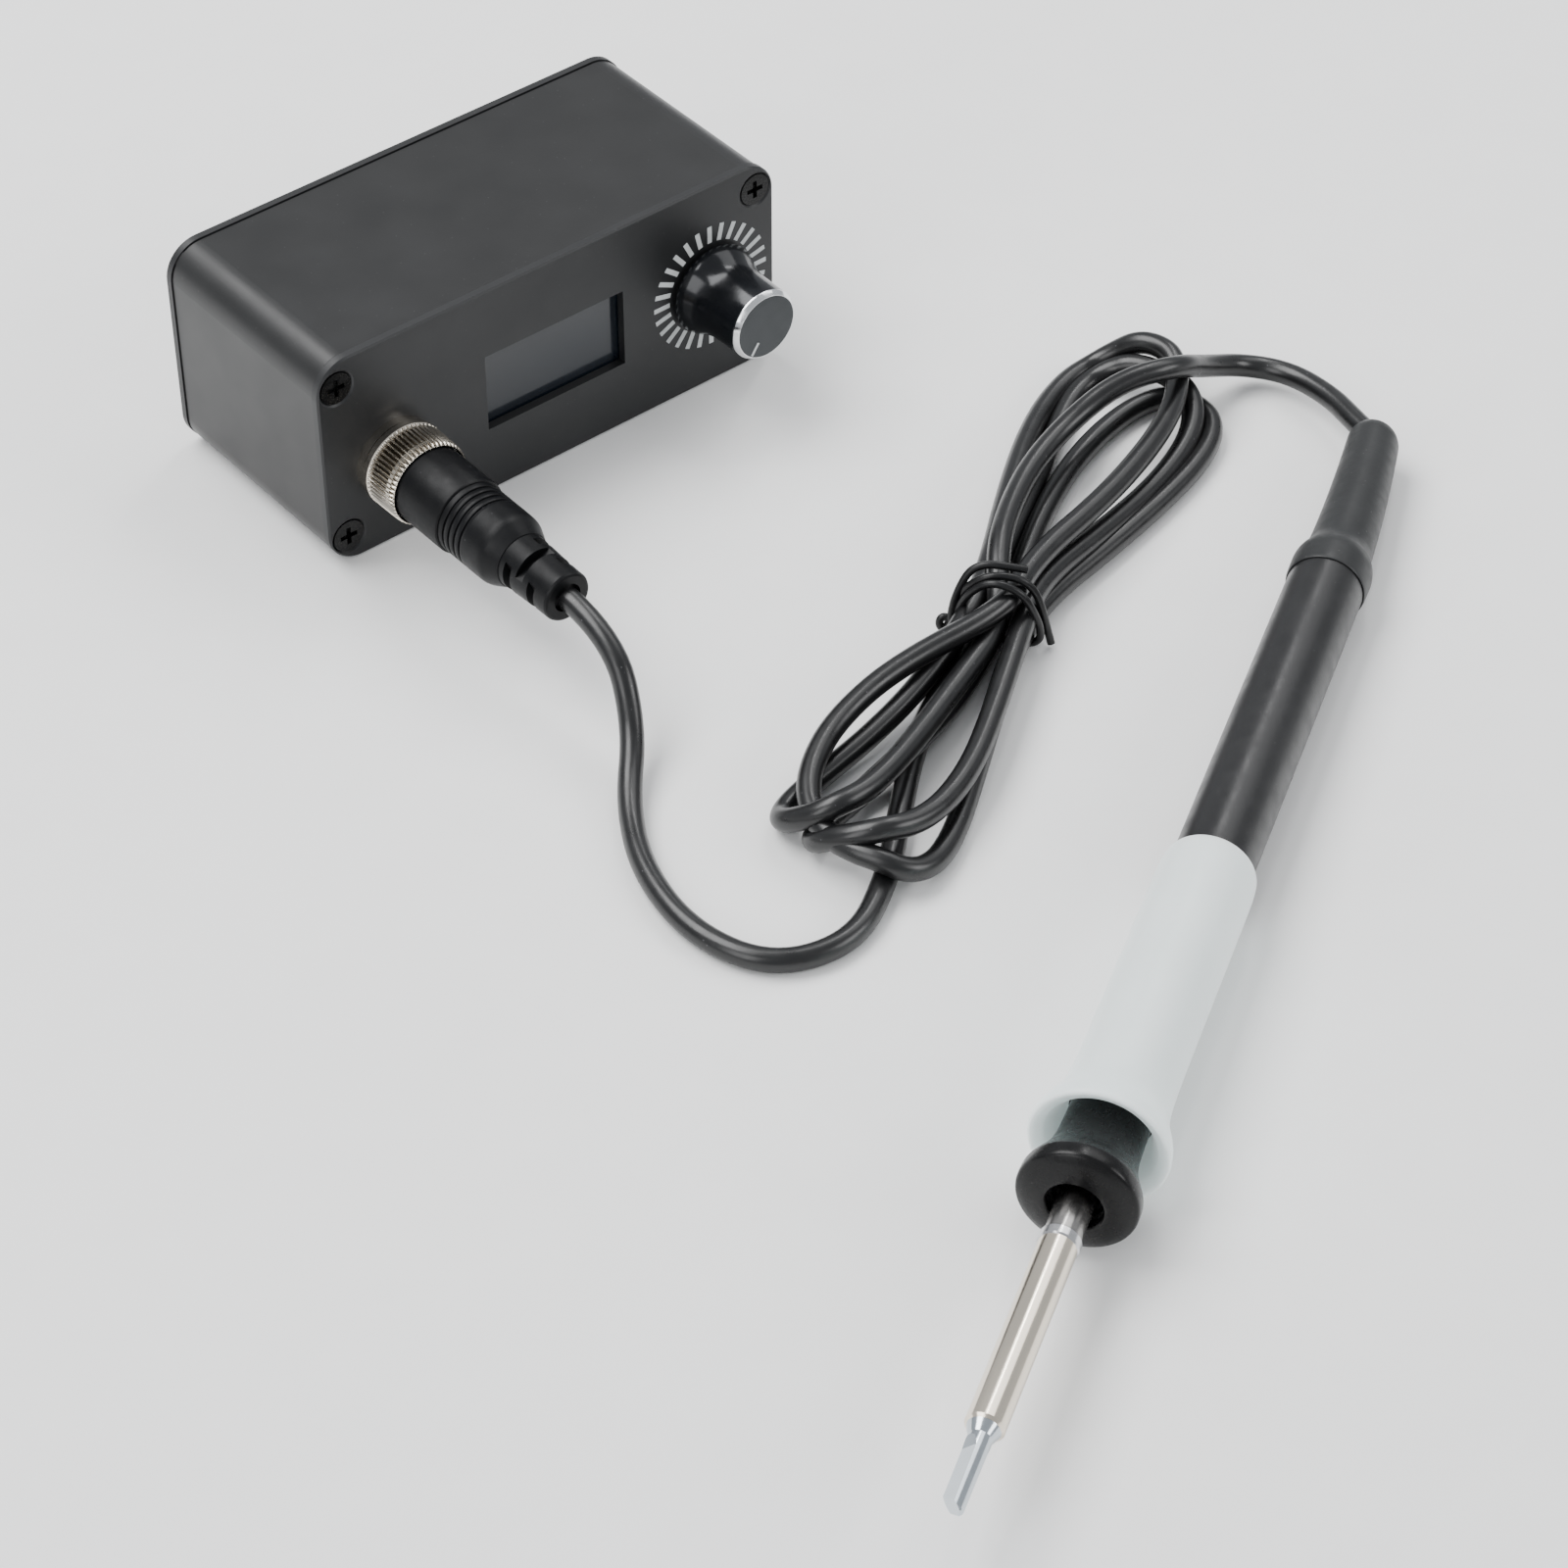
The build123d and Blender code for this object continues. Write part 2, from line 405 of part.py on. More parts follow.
# ---- cord ---------------------------------------------------------------------------
# The free cord's route where it isn't wound up: points of straight runs that arcs join.
LEAD_ROUTE = [
    (PLUG_X, FRONT - PLUG_END, PLUG_Z), (-31.0, -75.5, 15.0), (-34.5, -84.5, 5.6), (-43.0, -93.5, CORD_R),
    (-50.0, -106.0, CORD_R), (-52.5, -120.5, CORD_R), (-48.0, -133.0, CORD_R), (-36.0, -136.5, CORD_R),
    (-24.5, -130.0, CORD_R),
]
TIE = (26.5, -97.5, 6.9)                       # middle of the waist of the hank
BUNDLE_R, TIE_T, TIE_W = 5.6, 1.3, 3.4
TIE_HEADING = 33.5
IRON_ROUTE = [
    (30.0, -91.8, 9.7), (38.6, -84.6, 9.3), (49.0, -78.3, 9.2), (60.5, -74.6, 9.8), (70.5, -75.0, 12.9),
    (80.0, -77.9, 13.0), (88.5, -75.3, 7.2), (97.5, -75.6, 3.4), (102.0, -82.0, 3.3), (101.8, -91.5, 4.2),
    (99.6, -99.0, 4.9),
    iron_place(BOOT_END - 3.0, 1.6),
]
# Lobes of the hank: heading, length, left and right width, fullness and bend.
UPPER_LOBE = (30.5, 72.0, 11.5, 19.0, 1.15, 2.5)
LOWER_LOBE = (209.0, 62.0, 10.5, 21.0, 1.0, 1.5)


def leaf(heading, length, left, right, fullness, bend, count):
    """Points of one loop of cord round a leaf shape that starts and ends at the tie."""
    turn = radians(heading)
    points = []
    for i in range(count + 1):
        w = 2 * i / count - 1
        along = length * (1 - w * w)
        side = (left if w < 0 else right) * -2.2 * w * (1 - w * w) ** fullness
        side += bend * sin(pi * along / length)
        points.append((TIE[0] + along * cos(turn) - side * sin(turn),
                       TIE[1] + along * sin(turn) + side * cos(turn)))
    return points


def cord_tube(name, route):
    """Cord along straight runs with the largest tangent arcs; prints its radii and length."""
    points = [Vector(*p) for p in route]
    radii = []
    for a, b, c in zip(points, points[1:], points[2:]):
        turn = (b - a).get_angle(c - b)
        radii.append(0.45 * min((b - a).length, (c - b).length) / tan(radians(turn) / 2))
    path = FilletPolyline(*points, radius=radii)
    section = Plane(origin=points[0], z_dir=points[1] - points[0]) * Circle(CORD_R)
    tube = sweep(section, path=path)
    print(name, "radii", [round(r, 1) for r in radii], "length", round(path.length, 1),
          "volume ratio", round(tube.volume / (pi * CORD_R ** 2 * path.length), 4))
    return tube


def lobe(shape, height):
    points = leaf(*shape, count=16)
    outline = Spline(*points[1:-1]) + Line(points[-2], points[1])
    return extrude(make_face(outline), height)


def make_cord():
    add("cord_lead", cord_tube("cord_lead", LEAD_ROUTE))
    add("cord_to_iron", cord_tube("cord_to_iron", IRON_ROUTE))
    waist = Pos(*TIE) * Rot(0, 0, TIE_HEADING) * Rot(0, 90, 0) * Cylinder(BUNDLE_R, 16)
    neck = Pos(TIE[0], TIE[1], 3.4) * Rot(0, 0, TIE_HEADING) * Box(44, 9, 4.2)
    clear = Pos(*TIE) * Rot(0, 0, TIE_HEADING) * Box(TIE_W + 1, 40, 40)
    add("cord_hank", lobe(UPPER_LOBE, 6.2) + lobe(LOWER_LOBE, 8.0) + neck - clear + waist)
    band = Cylinder(BUNDLE_R + TIE_T, TIE_W) - Cylinder(BUNDLE_R + 0.02, TIE_W + 2)
    add("twist_tie", Pos(*TIE) * Rot(0, 0, TIE_HEADING) * Rot(0, 90, 0) * band)


make_case()
make_electronics()
make_encoder()
make_rear()
make_connector()
make_iron()
make_cord()

os.makedirs("parts", exist_ok=True)
for name, shape in PARTS.items():
    export_step(shape, f"parts/{name}.step")
print(len(PARTS), "parts")
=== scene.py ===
from math import atan2, cos, pi, radians, sin

import bpy
from mathutils import Matrix, Vector


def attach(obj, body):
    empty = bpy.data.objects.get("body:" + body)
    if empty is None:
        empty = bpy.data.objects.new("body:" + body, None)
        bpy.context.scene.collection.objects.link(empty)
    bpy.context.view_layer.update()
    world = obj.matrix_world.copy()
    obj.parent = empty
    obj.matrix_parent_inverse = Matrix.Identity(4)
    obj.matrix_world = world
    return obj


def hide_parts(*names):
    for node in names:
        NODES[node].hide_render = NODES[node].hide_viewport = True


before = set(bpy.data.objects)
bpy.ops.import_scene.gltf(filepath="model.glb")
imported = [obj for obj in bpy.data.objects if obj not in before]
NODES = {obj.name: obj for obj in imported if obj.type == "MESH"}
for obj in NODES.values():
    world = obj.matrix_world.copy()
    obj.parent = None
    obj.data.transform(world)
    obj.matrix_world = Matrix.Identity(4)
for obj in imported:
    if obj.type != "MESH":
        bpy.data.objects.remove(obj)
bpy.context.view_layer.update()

# A small black soldering station: case with a screen, dial and round plug, tied cord, slim iron.
# Lengths are millimetres until MM turns them into metres, except for the camera, lamps and floor.
MM = 0.001

# Camera, in metres and degrees: where it stands, its heading, how far it looks down, and its roll.
CAMERA_AT = (-0.328552, -0.479246, 0.447275)
CAMERA_HEADING, CAMERA_DOWN, CAMERA_ROLL = -39.238, 42.646, -0.181
LENS, SENSOR = 103.1, 36.0

# Soft lamps, in metres and watts: name, place, aim, size and power.
LAMPS = [
    ("key", (-0.35, 0.55, 1.25), (0.0, -0.08, 0.0), (1.2, 0.8), 28.0),
    ("side", (-1.2, -0.3, 0.75), (0.0, -0.08, 0.02), (0.6, 0.9), 7.5),
    ("front", (0.9, -1.2, 0.8), (0.0, -0.08, 0.02), (0.9, 0.6), 10.0),
    ("overhead", (0.90, 0.15, 1.15), (-0.07, -0.2, 0.01), (1.0, 0.8), 6.0),
    ("streak", (0.74, 0.40, 1.15), (-0.07, -0.2, 0.01), (0.09, 0.7), 2.4),
]
WORLD_COLOUR, WORLD_STRENGTH = (0.93, 0.96, 1.0), 0.6
FLOOR_HALF, FLOOR_DROP = 1.6, 0.00005

# The iron lies on the grip's bell and on the boot's ring, which sets its tilt.
BELL_R, BELL_AT, RING_R, RING_AT = 9.95, 66.0, 6.3, 195.0
IRON_YAW, IRON_TILT = radians(31.67), atan2(BELL_R - RING_R, RING_AT - BELL_AT)
TIP = (-96.9, -227.1)
TIP_Z = BELL_R * cos(IRON_TILT) + BELL_AT * sin(IRON_TILT)
BOOT_BEND_FROM, BOOT_END, BOOT_SIDE, BOOT_CURVE = 200.0, 231.5, 1.8, 1.6

# Front of the panel, and the axes of the dial and of the round plug.
FRONT = -20.5
DIAL_X, DIAL_Z = 31.2, 19.0
PLUG_X, PLUG_Z = -31.2, 15.9


# ---- camera, light and floor ----------------------------------------------------------
def camera():
    data = bpy.data.cameras.new("camera")
    data.sensor_width = SENSOR
    data.lens = LENS
    data.clip_start = 0.01
    cam = bpy.data.objects.new("camera", data)
    bpy.context.scene.collection.objects.link(cam)
    heading = Matrix.Rotation(radians(CAMERA_HEADING), 4, "Z")
    down = Matrix.Rotation(radians(90 - CAMERA_DOWN), 4, "X")
    roll = Matrix.Rotation(radians(CAMERA_ROLL), 4, "Z")
    cam.matrix_world = Matrix.Translation(CAMERA_AT) @ heading @ down @ roll
    bpy.context.scene.camera = cam


def area_light(name, place, target, size, power):
    data = bpy.data.lights.new(name, "AREA")
    data.shape = "RECTANGLE"
    data.size, data.size_y = size
    data.energy = power
    lamp = bpy.data.objects.new(name, data)
    bpy.context.scene.collection.objects.link(lamp)
    lamp.location = place
    aim = Vector(target) - Vector(place)
    lamp.rotation_euler = aim.to_track_quat("-Z", "Y").to_euler()


def studio():
    for lamp in LAMPS:
        area_light(*lamp)
    world = bpy.data.worlds.new("studio")
    world.use_nodes = True
    background = world.node_tree.nodes["Background"]
    background.inputs["Color"].default_value = (*WORLD_COLOUR, 1.0)
    background.inputs["Strength"].default_value = WORLD_STRENGTH
    bpy.context.scene.world = world
    mesh = bpy.data.meshes.new("floor")
    corners = [(x * FLOOR_HALF, y * FLOOR_HALF, 0) for x, y in ((-1, -1), (1, -1), (1, 1), (-1, 1))]
    mesh.from_pydata(corners, [], [(0, 1, 2, 3)])
    floor = bpy.data.objects.new("floor", mesh)
    bpy.context.scene.collection.objects.link(floor)
    floor.location.z = -FLOOR_DROP
    mesh.materials.append(surface("floor_paper", (0.86, 0.86, 0.855), 0.9, tone=0.01, grain=900, bump=0.01))


# ---- materials ------------------------------------------------------------------------
# Noise values that count as darkest and lightest; size and share of the specks.
NOISE_SPAN = (0.3, 0.7)
SPECK_EDGE, SPECK_SHARE = (0.08, 0.16), (0.9, 0.93)
GLOSS_PATCH_RATIO, LOWEST_ROUGHNESS = 3.1, 0.02


def surface(name, colour, roughness, metallic=0.0, tone=0.12, patch=90, grain=2600, bump=0.05, spread=0.06,
            specks=0.0, speck_colour=(0.5, 0.5, 0.5), stretch=(1, 1, 1), turn=None, sockets=()):
    """Procedural finish: patchy tone, uneven gloss, fine grain, and optional small light specks."""
    mat = bpy.data.materials.new(name)
    mat.use_nodes = True
    tree = mat.node_tree
    shader = tree.nodes["Principled BSDF"]
    coord = tree.nodes.new("ShaderNodeTexCoord")
    place = tree.nodes.new("ShaderNodeMapping")
    place.inputs["Scale"].default_value = stretch
    if turn is not None:
        place.vector_type = "TEXTURE"
        place.inputs["Rotation"].default_value = turn
        place.inputs["Scale"].default_value = [1 / s for s in stretch]
    tree.links.new(coord.outputs["Object"], place.inputs["Vector"])

    def noise(scale, detail=2.0):
        node = tree.nodes.new("ShaderNodeTexNoise")
        node.inputs["Scale"].default_value = scale
        node.inputs["Detail"].default_value = detail
        tree.links.new(place.outputs["Vector"], node.inputs["Vector"])
        return node.outputs["Fac"]

    def span(value, low, high, limits=NOISE_SPAN):
        node = tree.nodes.new("ShaderNodeMapRange")
        for key, number in zip(("From Min", "From Max", "To Min", "To Max"), (*limits, low, high)):
            node.inputs[key].default_value = number
        tree.links.new(value, node.inputs["Value"])
        return node.outputs["Result"]

    dark = tuple(c * (1 - tone) for c in colour)
    light = tuple(min(1.0, c * (1 + tone)) for c in colour)
    ramp = tree.nodes.new("ShaderNodeValToRGB")
    for stop, position, shade in zip(ramp.color_ramp.elements, NOISE_SPAN, (dark, light)):
        stop.position = position
        stop.color = (*shade, 1)
    tree.links.new(noise(patch, 3.0), ramp.inputs["Fac"])
    tint = ramp.outputs["Color"]
    if specks:
        cells = tree.nodes.new("ShaderNodeTexVoronoi")
        cells.inputs["Scale"].default_value = specks
        tree.links.new(place.outputs["Vector"], cells.inputs["Vector"])
        few = tree.nodes.new("ShaderNodeSeparateColor")
        tree.links.new(cells.outputs["Color"], few.inputs["Color"])
        dot = span(cells.outputs["Distance"], 1.0, 0.0, SPECK_EDGE)
        pick = span(few.outputs["Red"], 0.0, 1.0, SPECK_SHARE)
        both = tree.nodes.new("ShaderNodeMath")
        both.operation = "MULTIPLY"
        tree.links.new(dot, both.inputs[0])
        tree.links.new(pick, both.inputs[1])
        blend = tree.nodes.new("ShaderNodeMixRGB")
        tree.links.new(both.outputs["Value"], blend.inputs["Fac"])
        tree.links.new(tint, blend.inputs["Color1"])
        blend.inputs["Color2"].default_value = (*speck_colour, 1)
        tint = blend.outputs["Color"]
    tree.links.new(tint, shader.inputs["Base Color"])
    lowest, highest = max(LOWEST_ROUGHNESS, roughness - spread), min(1.0, roughness + spread)
    gloss = span(noise(patch * GLOSS_PATCH_RATIO), lowest, highest)
    tree.links.new(gloss, shader.inputs["Roughness"])
    shader.inputs["Metallic"].default_value = metallic
    if bump:
        node = tree.nodes.new("ShaderNodeBump")
        node.inputs["Strength"].default_value = 1.0
        node.inputs["Distance"].default_value = bump * MM
        tree.links.new(noise(grain, 3.0), node.inputs["Height"])
        tree.links.new(node.outputs["Normal"], shader.inputs["Normal"])
    for key, value in sockets:
        shader.inputs[key].default_value = value
    return mat


def paint(material, *names):
    """Gives CAD nodes a new material in every slot."""
    for name in names:
        obj = NODES[name]
        for slot in obj.material_slots:
            slot.material = material


iron_turn = (0.0, IRON_TILT, IRON_YAW)

studio()
camera()

LOW_GLOSS = ("Specular IOR Level", 0.3)
LOWER_GLOSS = ("Specular IOR Level", 0.2)
LOWEST_GLOSS = ("Specular IOR Level", 0.15)
case_black = surface("case_black", (0.0132, 0.0134, 0.0138), 0.38, metallic=0.2, tone=0.1, patch=35,
                     grain=5200, bump=0.010, spread=0.03, specks=1400, speck_colour=(0.05, 0.05, 0.05))
panel_black = surface("panel_black", (0.0128, 0.0133, 0.0144), 0.44, metallic=0.2, tone=0.08, patch=40,
                      grain=5200, bump=0.008, spread=0.03, specks=1400,
                      speck_colour=(0.045, 0.045, 0.045))
screw_black = surface("screw_black", (0.012, 0.012, 0.012), 0.25, metallic=0.6, tone=0.3, patch=400,
                      grain=3000, bump=0.02)
ink = surface("ink_white", (0.56, 0.58, 0.58), 0.6, tone=0.08, patch=500, grain=4000, bump=0.01)
screen_glass = surface("screen_glass", (0.006, 0.009, 0.014), 0.16, tone=0.2, patch=25, grain=800, bump=0.0,
                       sockets=(("Coat Weight", 0.15), ("Coat Roughness", 0.08)))
board = surface("board_mask", (0.01, 0.09, 0.05), 0.35, tone=0.2, patch=300, grain=1500, bump=0.02)
part_black = surface("part_black", (0.02, 0.02, 0.02), 0.5, tone=0.2, patch=500, grain=3000, bump=0.02)
steel = surface("steel", (0.45, 0.45, 0.45), 0.3, metallic=1.0, tone=0.1, patch=200, grain=3000, bump=0.01)
tin = surface("tin", (0.62, 0.62, 0.63), 0.2, metallic=1.0, tone=0.08, patch=260, grain=1500, bump=0.01)
gold = surface("gold", (0.75, 0.5, 0.2), 0.25, metallic=1.0, tone=0.1, patch=300, grain=3000, bump=0.01)
nickel = surface("nickel", (0.66, 0.61, 0.53), 0.2, metallic=1.0, tone=0.04, patch=120, grain=1500,
                 bump=0.001, spread=0.03)
# Darker nickel for the nut's groove faces: painted shade in the knurl's grooves.
painted_groove_shade = surface("painted_groove_shade", (0.17, 0.15, 0.12), 0.3, metallic=1.0, tone=0.1, patch=300,
                       grain=1500, bump=0.001, spread=0.05)
moulding = surface("moulding", (0.0035, 0.0037, 0.0043), 0.40, tone=0.2, patch=180, grain=3600, bump=0.012,
                   specks=900, speck_colour=(0.05, 0.05, 0.055), sockets=(LOWEST_GLOSS,))
knob_black = surface("knob_black", (0.008, 0.009, 0.011), 0.16, metallic=0.35, tone=0.1, patch=150,
                     grain=2600, bump=0.003, spread=0.03)
knob_top = surface("knob_top", (0.035, 0.039, 0.042), 0.36, metallic=0.5, tone=0.06, patch=150, grain=5000,
                   bump=0.006)
cut_metal = surface("cut_metal", (0.80, 0.81, 0.82), 0.16, metallic=1.0, tone=0.04, patch=300, grain=3000,
                    bump=0.002)
jacket = surface("cord_jacket", (0.0055, 0.0056, 0.006), 0.31, tone=0.12, patch=120, grain=2400, bump=0.006,
                 specks=1100, speck_colour=(0.07, 0.07, 0.075), spread=0.04)
tie_plastic = surface("tie_plastic", (0.007, 0.007, 0.0075), 0.34, tone=0.2, patch=300, grain=2500,
                      bump=0.01, sockets=(LOW_GLOSS,))
barrel_metal = surface("barrel_metal", (0.84, 0.76, 0.64), 0.17, metallic=1.0, tone=0.08, patch=60,
                       grain=2200, bump=0.003, spread=0.03, stretch=(0.2, 3, 3), turn=iron_turn)
sleeve_metal = surface("sleeve_metal", (0.36, 0.35, 0.34), 0.24, metallic=1.0, tone=0.12, patch=90,
                       grain=2200, bump=0.004)
bit_metal = surface("bit_metal", (0.54, 0.59, 0.63), 0.17, metallic=1.0, tone=0.03, patch=200, grain=1300,
                    bump=0.002, spread=0.03)
nose_black = surface("nose_black", (0.006, 0.006, 0.0063), 0.26, tone=0.25, patch=220, grain=3000,
                     bump=0.012, specks=1100, speck_colour=(0.06, 0.06, 0.06), sockets=(LOWER_GLOSS,))
tube_black = surface("tube_black", (0.011, 0.011, 0.0117), 0.34, metallic=0.15, tone=0.1, patch=90,
                     grain=4200, bump=0.016, specks=1500, speck_colour=(0.07, 0.07, 0.07))
boot_grey = surface("boot_grey", (0.018, 0.0188, 0.0195), 0.44, tone=0.12, patch=160, grain=2600, bump=0.012,
                    specks=1000, speck_colour=(0.06, 0.06, 0.06), sockets=(LOW_GLOSS,))
# The pale emission on the grip is a painted glow: it stands in for light shining through the silicone and
# lightens the grip's shaded inside.
silicone = surface("silicone", (0.68, 0.755, 0.755), 0.36, tone=0.03, patch=60, grain=900, bump=0.012,
                   sockets=(("Subsurface Weight", 1.0), ("Subsurface Radius", (1.0, 1.0, 1.0)),
                            ("Subsurface Scale", 0.003), ("IOR", 1.41), ("Emission Strength", 0.22),
                            ("Emission Color", (0.86, 0.93, 0.91, 1.0))))

paint(case_black, "case_extrusion")
paint(panel_black, "front_panel", "rear_panel")
paint(screw_black, "front_screws", "rear_screws")
paint(ink, "dial_ticks", "knob_pointer")
paint(screen_glass, "display_glass")
paint(board, "display_board", "controller_board", "sensor_board")
paint(part_black, "display_header", "microcontroller", "power_transistors", "buck_inductor",
      "filter_capacitors", "wire_terminals", "buzzer", "push_plunger", "socket_insulator", "plug_insert",
      "tip_spacers", "contact_holder")
paint(steel, "encoder_body", "encoder_shaft", "nut_retaining_ring", "plug_collar", "tilt_switch_ball")
paint(nickel, "encoder_nut", "dc_jack_pin", "dc_jack_nut", "socket_shell", "socket_nut", "tilt_switch_can")
paint(tin, "switch_terminals", "tip_contacts")
paint(gold, "socket_pins", "plug_contacts", "contact_springs")
paint(moulding, "dc_jack", "switch_frame", "power_rocker", "plug_strain_relief")
paint(knob_top, "knob_cap")
paint(barrel_metal, "tip_barrel")
paint(tin, "tip_collar")
paint(sleeve_metal, "tip_sleeve")
paint(bit_metal, "tip_bit")
paint(tube_black, "handle_tube")


# ---- mesh helpers -----------------------------------------------------------------------
SHARP_ANGLE = 32


def mesh_piece(name, verts, faces, material, body):
    mesh = bpy.data.meshes.new(name)
    mesh.from_pydata([tuple(v) for v in verts], [], faces)
    mesh.shade_smooth()
    mesh.set_sharp_from_angle(angle=radians(SHARP_ANGLE))
    mesh.materials.append(material)
    obj = bpy.data.objects.new(name, mesh)
    bpy.context.scene.collection.objects.link(obj)
    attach(obj, body)
    return obj


def rings_to_mesh(rings):
    """Closed skin through equal rings, the last joined to the first."""
    count, around = len(rings), len(rings[0])
    verts = [p for ring in rings for p in ring]
    faces = []
    for i in range(count):
        j = (i + 1) % count
        for k in range(around):
            m = (k + 1) % around
            faces.append((i * around + k, i * around + m, j * around + m, j * around + k))
    return verts, faces


SMOOTH_STEPS = 4


def smooth(points):
    """Even curve through (distance, radius) pairs."""
    last = len(points) - 1
    out = []
    for i in range(last):
        before, a, b, after = points[max(i - 1, 0)], points[i], points[i + 1], points[min(i + 2, last)]
        for k in range(SMOOTH_STEPS):
            t = k / SMOOTH_STEPS
            point = []
            for p0, p1, p2, p3 in zip(before, a, b, after):
                square, cube = 2 * p0 - 5 * p1 + 4 * p2 - p3, 3 * p1 - p0 - 3 * p2 + p3
                point.append(0.5 * (2 * p1 + (p2 - p0) * t + square * t * t + cube * t ** 3))
            out.append(tuple(point))
    return out + [points[-1]]


LATHE_STEPS = 96


def ring_of(place, distance, radii):
    """One ring of points in metres; place(distance, across, up) puts a point in the model."""
    ring = []
    for k, radius in enumerate(radii):
        turn = 2 * pi * k / len(radii)
        ring.append([c * MM for c in place(distance, radius * cos(turn), radius * sin(turn))])
    return ring


def lathe(name, profile, place, material, body, node):
    """Closed turned skin from (distance, radius) pairs, in the place of a CAD node."""
    verts, faces = rings_to_mesh([ring_of(place, d, [r] * LATHE_STEPS) for d, r in profile])
    piece = mesh_piece(name, verts, faces, material, body)
    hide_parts(node)


# ---- iron ---------------------------------------------------------------------------------
def iron_point(s, side, up):
    """A point of the iron's own frame: s from the tip to the rear, side to its left."""
    if s > BOOT_BEND_FROM:
        side += BOOT_SIDE * ((s - BOOT_BEND_FROM) / (BOOT_END - BOOT_BEND_FROM)) ** BOOT_CURVE
    ahead = s * cos(IRON_TILT) + up * sin(IRON_TILT)
    return (TIP[0] + ahead * cos(IRON_YAW) - side * sin(IRON_YAW),
            TIP[1] + ahead * sin(IRON_YAW) + side * cos(IRON_YAW),
            TIP_Z - s * sin(IRON_TILT) + up * cos(IRON_TILT))


def iron_pieces():
    """Moulded nose with a stepped hole, soft grip with a bell, and the rear boot with its ring."""
    nose = [(56.2, 4.0), (54.25, 4.0), (54.05, 4.15), (54.0, 4.4)]
    nose += smooth([(54.05, 4.8), (54.25, 5.9), (54.65, 7.2), (55.1, 8.1)])
    nose += [(55.2, 8.26), (55.38, 8.4), (55.65, 8.49), (56.2, 8.5), (57.3, 8.47)]
    nose += smooth([(57.7, 8.36), (58.8, 7.85), (60.2, 7.15), (62.2, 6.4), (64.6, 5.95), (67.5, 5.78),
                    (72.0, 5.7)])
    nose += [(72.0, 4.8), (88.0, 4.8), (88.0, 2.95), (60.5, 2.95), (59.5, 3.4), (57.8, 3.4), (57.8, 3.75),
             (56.2, 3.75)]
    lathe("moulded_nose", nose, iron_point, nose_black, "root", "nose_cone")
    grip = smooth([(66.5, 7.9), (66.0, 8.7), (65.55, 9.3), (65.5, 9.7), (65.9, 9.93), (66.6, 9.9),
                   (67.9, 9.6), (69.3, 9.05), (70.8, 8.4), (72.5, 7.85), (74.8, 7.5), (78.0, 7.3),
                   (84.0, 7.2), (100.0, 7.17), (118.0, 7.15)])
    grip += smooth([(120.0, 7.12), (122.2, 6.95), (123.1, 6.65), (123.45, 6.3)])
    grip += [(123.5, 6.03), (73.0, 6.03)]
    grip += smooth([(71.8, 6.1), (69.8, 6.4), (68.0, 6.95), (66.5, 7.9)])[:-1]
    # The grip's material carries a painted glow.
    lathe("soft_grip", grip, iron_point, silicone, "root", "silicone_grip")
    boot = smooth([(190.7, 6.02), (190.75, 6.15), (191.3, 6.26), (192.6, 6.32), (194.0, 6.34), (195.4, 6.3),
                   (196.6, 6.05), (197.8, 5.62), (199.2, 5.25), (201.0, 5.08), (206.0, 4.9), (213.0, 4.68),
                   (221.0, 4.42), (228.0, 4.2), (229.6, 4.05), (230.8, 3.6), (231.4, 2.9)])
    boot += [(231.5, 2.3), (230.3, 1.9), (226.0, 1.86), (196.1, 1.86), (196.1, 6.02)]
    lathe("soft_boot", boot, iron_point, boot_grey, "root", "rear_boot")


iron_pieces()


# ---- dial -----------------------------------------------------------------------------------
def dial_point(d, across, up):
    """A point at distance d ahead of the panel, beside the dial's axis."""
    return DIAL_X + across, FRONT - d, DIAL_Z + up


def knob():
    """Flared knob with a hollow back; the bright rim and the disc are separate pieces."""
    profile = [(3.2, 3.05), (3.2, 6.2), (0.9, 6.5), (0.9, 7.8), (1.0, 7.88), (1.15, 7.9)]
    profile += smooth([(1.4, 7.88), (2.2, 7.66), (3.1, 7.28), (4.1, 6.86), (5.3, 6.5), (6.8, 6.28),
                       (9.0, 6.2), (11.4, 6.17), (13.2, 6.15)])
    profile += [(13.2, 3.05)]
    lathe("flared_knob", profile, dial_point, knob_black, "knob", "knob_body")
    rim = [(13.2, 5.5), (13.2, 6.15), (13.42, 6.15), (13.47, 6.13), (14.12, 5.63), (14.2, 5.58), (14.2, 5.5)]
    lathe("bright_rim", rim, dial_point, cut_metal, "knob", "knob_rim")


knob()


# ---- coupling nut and plug --------------------------------------------------------------
TEETH, STEPS_PER_TOOTH, TOOTH_DEPTH = 56, 8, 0.6
# Steps of each tooth that lie in the groove and take a darker copy of the nickel, painted shade in the
# knurl's grooves.
GROOVE_STEPS = (6, 7, 0, 1)


def plug_point(d, across, up):
    """A point at distance d ahead of the panel, beside the plug's axis."""
    return PLUG_X + across, FRONT - d, PLUG_Z + up


